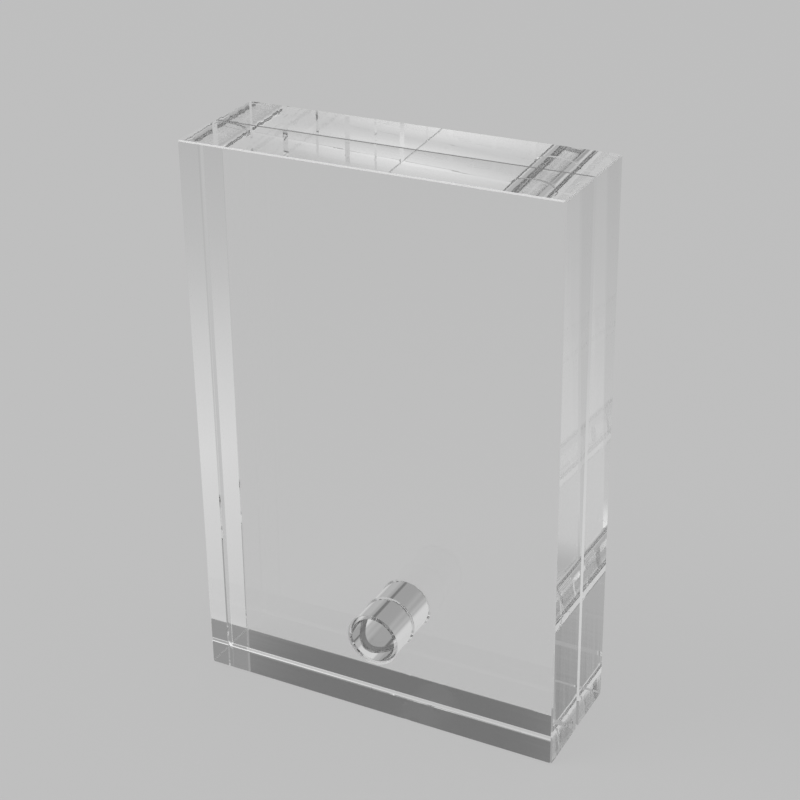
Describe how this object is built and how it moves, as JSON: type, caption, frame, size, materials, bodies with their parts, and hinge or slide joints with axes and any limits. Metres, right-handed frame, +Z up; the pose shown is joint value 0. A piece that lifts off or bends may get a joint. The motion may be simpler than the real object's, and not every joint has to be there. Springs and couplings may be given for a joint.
{
  "type": "acrylic block picture frame",
  "caption": "Clear acrylic block picture frame of thick polished slabs pinned by a clear peg; the front slab swivels on the peg or pulls off to take a print.",
  "frame": {"origin": "middle of the footprint, on the surface that the block stands on", "axes": "+X along the width to the viewer's right, -Y toward the viewer out of the front face, +Z up"},
  "size_m": [0.1016, 0.0342, 0.1524],
  "materials": {
    "clear_slab": "polished clear cast acrylic",
    "clear_peg": "polished clear acrylic rod"
  },
  "bodies": {
    "rear_slab": {"rear_slab": "clear_slab"},
    "peg": {"peg": "clear_peg"},
    "front_slab": {"front_slab": "clear_slab"}
  },
  "joints": [
    {"name": "pull_off", "type": "slide", "parent": "rear_slab", "child": "peg", "axis": [0, -1, 0], "range_m": [0, 0.04]},
    {"name": "swivel", "type": "hinge", "parent": "peg", "child": "front_slab", "pos_m": [0, 0, 0.0225], "axis": [0, -1, 0], "range_deg": [-180, 180]}
  ]
}
